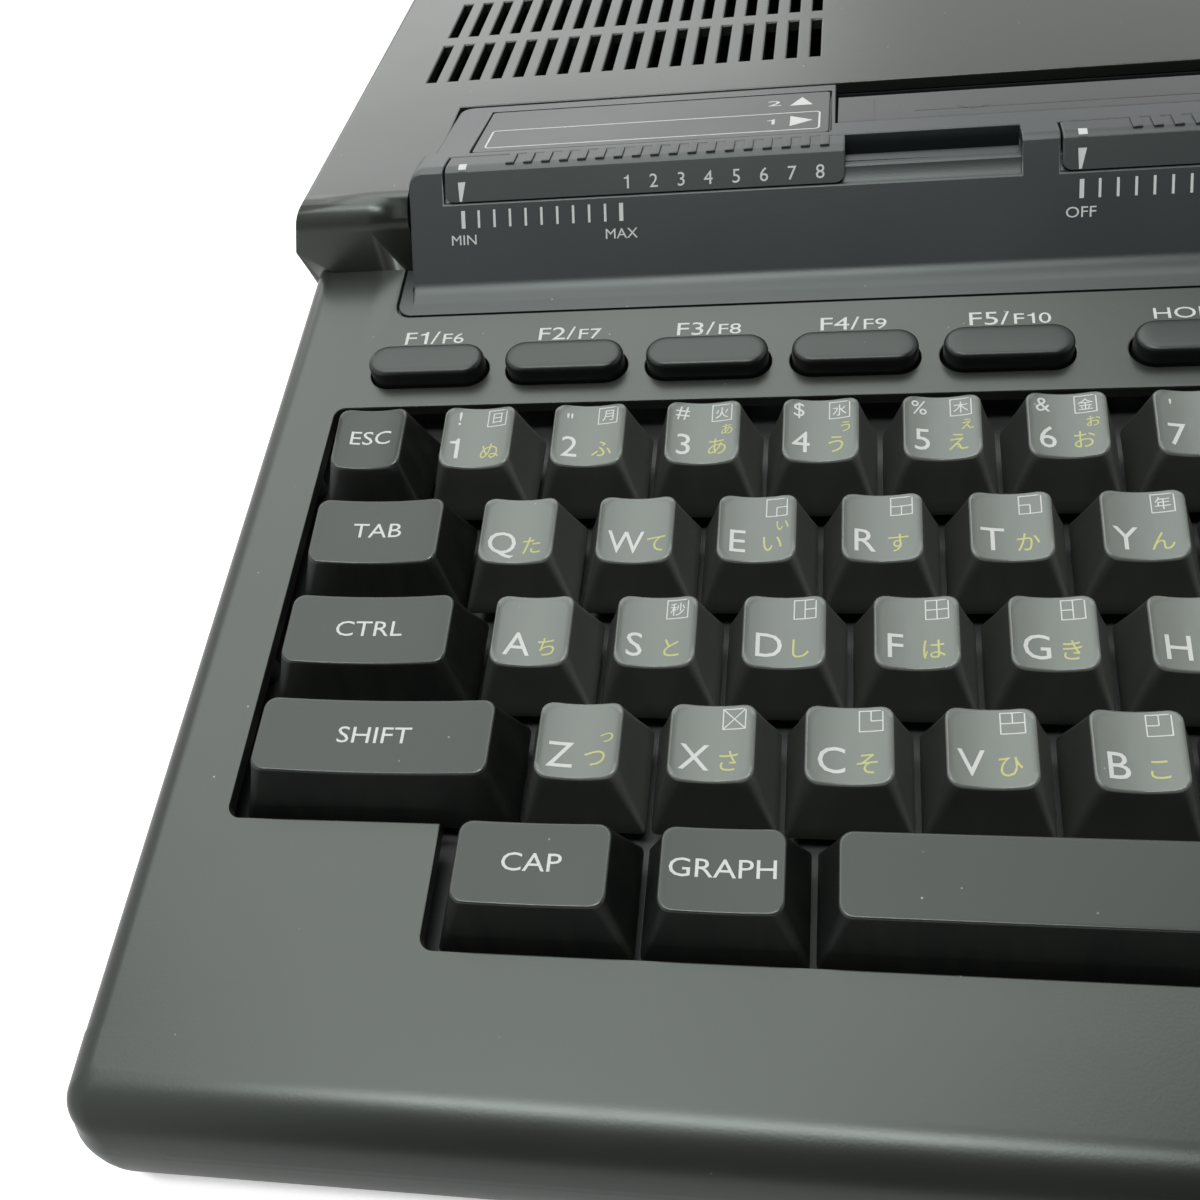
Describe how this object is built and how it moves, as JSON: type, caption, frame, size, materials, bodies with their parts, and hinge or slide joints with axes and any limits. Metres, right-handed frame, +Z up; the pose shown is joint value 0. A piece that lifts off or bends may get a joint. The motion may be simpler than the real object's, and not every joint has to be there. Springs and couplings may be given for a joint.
{
  "type": "home computer",
  "caption": "Home computer in a wedge-shaped case: sloped keyboard in front, higher rear block with speed sliders, a flapped cartridge slot, vents and rear sockets.",
  "frame": {"origin": "on the desk, at the middle of the case, where the rubber feet stand", "axes": "+X to the right along the keyboard, +Y to the rear, +Z up"},
  "size_m": [0.384, 0.2706, 0.0703],
  "materials": {
    "case_top": "fine moulded grain",
    "case_bottom": "fine moulded grain",
    "panel": "fine moulded grain",
    "label": "satin",
    "letter_keys": "fine grain, worn tops",
    "command_keys": "fine grain, worn tops",
    "function_buttons": "satin",
    "feet_rubber": "matte",
    "dome_rubber": "satin",
    "steel": "zinc plated",
    "board": "solder mask",
    "chips": "moulded epoxy",
    "transformer": "varnished steel",
    "frame_plastic": "moulded",
    "ribbon": "smooth",
    "connector": "moulded",
    "pot_metal": "stamped",
    "slider": "fine moulded grain",
    "flap": "fine moulded grain",
    "power": "satin",
    "reset": "satin"
  },
  "bodies": {
    "case": {"lower_case": "case_bottom", "upper_case": "case_top", "control_panel": "panel", "slot_label_plate": "label", "rubber_feet": "feet_rubber", "screws": "steel", "main_board": "board", "board_parts": "chips", "power_supply": "transformer", "key_frame": "frame_plastic", "rubber_domes": "dome_rubber", "contact_board": "board", "ribbon_cable": "ribbon", "cartridge_connectors": "connector", "sockets": "connector", "slide_pots": "pot_metal"},
    "key_esc": {"key_esc": "command_keys"},
    "key_tab": {"key_tab": "command_keys"},
    "key_ctrl": {"key_ctrl": "command_keys"},
    "key_shift": {"key_shift": "command_keys"},
    "key_caps": {"key_caps": "command_keys"},
    "key_graph": {"key_graph": "command_keys"},
    "key_space": {"key_space": "command_keys"},
    "key_f1": {"key_f1": "function_buttons"},
    "key_f2": {"key_f2": "function_buttons"},
    "key_f3": {"key_f3": "function_buttons"},
    "key_f4": {"key_f4": "function_buttons"},
    "key_f5": {"key_f5": "function_buttons"},
    "key_1": {"key_1": "letter_keys"},
    "key_2": {"key_2": "letter_keys"},
    "key_3": {"key_3": "letter_keys"},
    "key_4": {"key_4": "letter_keys"},
    "key_5": {"key_5": "letter_keys"},
    "key_6": {"key_6": "letter_keys"},
    "key_q": {"key_q": "letter_keys"},
    "key_w": {"key_w": "letter_keys"},
    "key_e": {"key_e": "letter_keys"},
    "key_r": {"key_r": "letter_keys"},
    "key_t": {"key_t": "letter_keys"},
    "key_y": {"key_y": "letter_keys"},
    "key_a": {"key_a": "letter_keys"},
    "key_s": {"key_s": "letter_keys"},
    "key_d": {"key_d": "letter_keys"},
    "key_f": {"key_f": "letter_keys"},
    "key_g": {"key_g": "letter_keys"},
    "key_z": {"key_z": "letter_keys"},
    "key_x": {"key_x": "letter_keys"},
    "key_c": {"key_c": "letter_keys"},
    "key_v": {"key_v": "letter_keys"},
    "key_b": {"key_b": "letter_keys"},
    "right_number_keys": {"right_number_keys": "letter_keys"},
    "right_letter_keys": {"right_letter_keys": "letter_keys"},
    "right_command_keys": {"right_command_keys": "command_keys"},
    "cursor_keys": {"cursor_keys": "command_keys"},
    "editing_keys": {"editing_keys": "function_buttons"},
    "speed_slider": {"speed_slider": "slider"},
    "turbo_slider": {"turbo_slider": "slider"},
    "cartridge_flap": {"cartridge_flap": "flap"},
    "power_button": {"power_button": "power"},
    "reset_button": {"reset_button": "reset"}
  },
  "joints": [
    {"name": "key_esc_press", "type": "slide", "parent": "case", "child": "key_esc", "axis": [0, -0.2079, 0.9781], "range_m": [-0.0035, 0], "stiffness_N_per_m": 120, "springref_m": 0.002},
    {"name": "key_tab_press", "type": "slide", "parent": "case", "child": "key_tab", "axis": [0, -0.2079, 0.9781], "range_m": [-0.0035, 0], "stiffness_N_per_m": 120, "springref_m": 0.002},
    {"name": "key_ctrl_press", "type": "slide", "parent": "case", "child": "key_ctrl", "axis": [0, -0.2079, 0.9781], "range_m": [-0.0035, 0], "stiffness_N_per_m": 120, "springref_m": 0.002},
    {"name": "key_shift_press", "type": "slide", "parent": "case", "child": "key_shift", "axis": [0, -0.2079, 0.9781], "range_m": [-0.0035, 0], "stiffness_N_per_m": 120, "springref_m": 0.002},
    {"name": "key_caps_press", "type": "slide", "parent": "case", "child": "key_caps", "axis": [0, -0.2079, 0.9781], "range_m": [-0.0035, 0], "stiffness_N_per_m": 120, "springref_m": 0.002},
    {"name": "key_graph_press", "type": "slide", "parent": "case", "child": "key_graph", "axis": [0, -0.2079, 0.9781], "range_m": [-0.0035, 0], "stiffness_N_per_m": 120, "springref_m": 0.002},
    {"name": "key_space_press", "type": "slide", "parent": "case", "child": "key_space", "axis": [0, -0.2079, 0.9781], "range_m": [-0.0035, 0], "stiffness_N_per_m": 200, "springref_m": 0.002},
    {"name": "key_f1_press", "type": "slide", "parent": "case", "child": "key_f1", "axis": [0, -0.2079, 0.9781], "range_m": [-0.0025, 0], "stiffness_N_per_m": 120, "springref_m": 0.002},
    {"name": "key_f2_press", "type": "slide", "parent": "case", "child": "key_f2", "axis": [0, -0.2079, 0.9781], "range_m": [-0.0025, 0], "stiffness_N_per_m": 120, "springref_m": 0.002},
    {"name": "key_f3_press", "type": "slide", "parent": "case", "child": "key_f3", "axis": [0, -0.2079, 0.9781], "range_m": [-0.0025, 0], "stiffness_N_per_m": 120, "springref_m": 0.002},
    {"name": "key_f4_press", "type": "slide", "parent": "case", "child": "key_f4", "axis": [0, -0.2079, 0.9781], "range_m": [-0.0025, 0], "stiffness_N_per_m": 120, "springref_m": 0.002},
    {"name": "key_f5_press", "type": "slide", "parent": "case", "child": "key_f5", "axis": [0, -0.2079, 0.9781], "range_m": [-0.0025, 0], "stiffness_N_per_m": 120, "springref_m": 0.002},
    {"name": "key_1_press", "type": "slide", "parent": "case", "child": "key_1", "axis": [0, -0.2079, 0.9781], "range_m": [-0.0035, 0], "stiffness_N_per_m": 120, "springref_m": 0.002},
    {"name": "key_2_press", "type": "slide", "parent": "case", "child": "key_2", "axis": [0, -0.2079, 0.9781], "range_m": [-0.0035, 0], "stiffness_N_per_m": 120, "springref_m": 0.002},
    {"name": "key_3_press", "type": "slide", "parent": "case", "child": "key_3", "axis": [0, -0.2079, 0.9781], "range_m": [-0.0035, 0], "stiffness_N_per_m": 120, "springref_m": 0.002},
    {"name": "key_4_press", "type": "slide", "parent": "case", "child": "key_4", "axis": [0, -0.2079, 0.9781], "range_m": [-0.0035, 0], "stiffness_N_per_m": 120, "springref_m": 0.002},
    {"name": "key_5_press", "type": "slide", "parent": "case", "child": "key_5", "axis": [0, -0.2079, 0.9781], "range_m": [-0.0035, 0], "stiffness_N_per_m": 120, "springref_m": 0.002},
    {"name": "key_6_press", "type": "slide", "parent": "case", "child": "key_6", "axis": [0, -0.2079, 0.9781], "range_m": [-0.0035, 0], "stiffness_N_per_m": 120, "springref_m": 0.002},
    {"name": "key_q_press", "type": "slide", "parent": "case", "child": "key_q", "axis": [0, -0.2079, 0.9781], "range_m": [-0.0035, 0], "stiffness_N_per_m": 120, "springref_m": 0.002},
    {"name": "key_w_press", "type": "slide", "parent": "case", "child": "key_w", "axis": [0, -0.2079, 0.9781], "range_m": [-0.0035, 0], "stiffness_N_per_m": 120, "springref_m": 0.002},
    {"name": "key_e_press", "type": "slide", "parent": "case", "child": "key_e", "axis": [0, -0.2079, 0.9781], "range_m": [-0.0035, 0], "stiffness_N_per_m": 120, "springref_m": 0.002},
    {"name": "key_r_press", "type": "slide", "parent": "case", "child": "key_r", "axis": [0, -0.2079, 0.9781], "range_m": [-0.0035, 0], "stiffness_N_per_m": 120, "springref_m": 0.002},
    {"name": "key_t_press", "type": "slide", "parent": "case", "child": "key_t", "axis": [0, -0.2079, 0.9781], "range_m": [-0.0035, 0], "stiffness_N_per_m": 120, "springref_m": 0.002},
    {"name": "key_y_press", "type": "slide", "parent": "case", "child": "key_y", "axis": [0, -0.2079, 0.9781], "range_m": [-0.0035, 0], "stiffness_N_per_m": 120, "springref_m": 0.002},
    {"name": "key_a_press", "type": "slide", "parent": "case", "child": "key_a", "axis": [0, -0.2079, 0.9781], "range_m": [-0.0035, 0], "stiffness_N_per_m": 120, "springref_m": 0.002},
    {"name": "key_s_press", "type": "slide", "parent": "case", "child": "key_s", "axis": [0, -0.2079, 0.9781], "range_m": [-0.0035, 0], "stiffness_N_per_m": 120, "springref_m": 0.002},
    {"name": "key_d_press", "type": "slide", "parent": "case", "child": "key_d", "axis": [0, -0.2079, 0.9781], "range_m": [-0.0035, 0], "stiffness_N_per_m": 120, "springref_m": 0.002},
    {"name": "key_f_press", "type": "slide", "parent": "case", "child": "key_f", "axis": [0, -0.2079, 0.9781], "range_m": [-0.0035, 0], "stiffness_N_per_m": 120, "springref_m": 0.002},
    {"name": "key_g_press", "type": "slide", "parent": "case", "child": "key_g", "axis": [0, -0.2079, 0.9781], "range_m": [-0.0035, 0], "stiffness_N_per_m": 120, "springref_m": 0.002},
    {"name": "key_z_press", "type": "slide", "parent": "case", "child": "key_z", "axis": [0, -0.2079, 0.9781], "range_m": [-0.0035, 0], "stiffness_N_per_m": 120, "springref_m": 0.002},
    {"name": "key_x_press", "type": "slide", "parent": "case", "child": "key_x", "axis": [0, -0.2079, 0.9781], "range_m": [-0.0035, 0], "stiffness_N_per_m": 120, "springref_m": 0.002},
    {"name": "key_c_press", "type": "slide", "parent": "case", "child": "key_c", "axis": [0, -0.2079, 0.9781], "range_m": [-0.0035, 0], "stiffness_N_per_m": 120, "springref_m": 0.002},
    {"name": "key_v_press", "type": "slide", "parent": "case", "child": "key_v", "axis": [0, -0.2079, 0.9781], "range_m": [-0.0035, 0], "stiffness_N_per_m": 120, "springref_m": 0.002},
    {"name": "key_b_press", "type": "slide", "parent": "case", "child": "key_b", "axis": [0, -0.2079, 0.9781], "range_m": [-0.0035, 0], "stiffness_N_per_m": 120, "springref_m": 0.002},
    {"name": "right_number_keys_press", "type": "slide", "parent": "case", "child": "right_number_keys", "axis": [0, -0.2079, 0.9781], "range_m": [-0.0035, 0], "stiffness_N_per_m": 960, "springref_m": 0.002},
    {"name": "right_letter_keys_press", "type": "slide", "parent": "case", "child": "right_letter_keys", "axis": [0, -0.2079, 0.9781], "range_m": [-0.0035, 0], "stiffness_N_per_m": 2280, "springref_m": 0.002},
    {"name": "right_command_keys_press", "type": "slide", "parent": "case", "child": "right_command_keys", "axis": [0, -0.2079, 0.9781], "range_m": [-0.0035, 0], "stiffness_N_per_m": 360, "springref_m": 0.002},
    {"name": "cursor_keys_press", "type": "slide", "parent": "case", "child": "cursor_keys", "axis": [0, -0.2079, 0.9781], "range_m": [-0.0035, 0], "stiffness_N_per_m": 480, "springref_m": 0.002},
    {"name": "editing_keys_press", "type": "slide", "parent": "case", "child": "editing_keys", "axis": [0, -0.2079, 0.9781], "range_m": [-0.0025, 0], "stiffness_N_per_m": 600, "springref_m": 0.002},
    {"name": "speed_slide", "type": "slide", "parent": "case", "child": "speed_slider", "axis": [1, 0, 0], "range_m": [0, 0.03]},
    {"name": "turbo_slide", "type": "slide", "parent": "case", "child": "turbo_slider", "axis": [1, 0, 0], "range_m": [0, 0.03]},
    {"name": "flap_swing", "type": "hinge", "parent": "case", "child": "cartridge_flap", "pos_m": [0, 0.04193, 0.06712], "axis": [1, 0, 0], "range_deg": [-80, 0], "stiffness_Nm_per_rad": 0.004, "springref_deg": 11.46},
    {"name": "power_press", "type": "slide", "parent": "case", "child": "power_button", "axis": [0, 0, 1], "range_m": [-0.002, 0], "stiffness_N_per_m": 200, "springref_m": 0.002},
    {"name": "reset_press", "type": "slide", "parent": "case", "child": "reset_button", "axis": [0, 0, 1], "range_m": [-0.0012, 0], "stiffness_N_per_m": 150, "springref_m": 0.002}
  ]
}
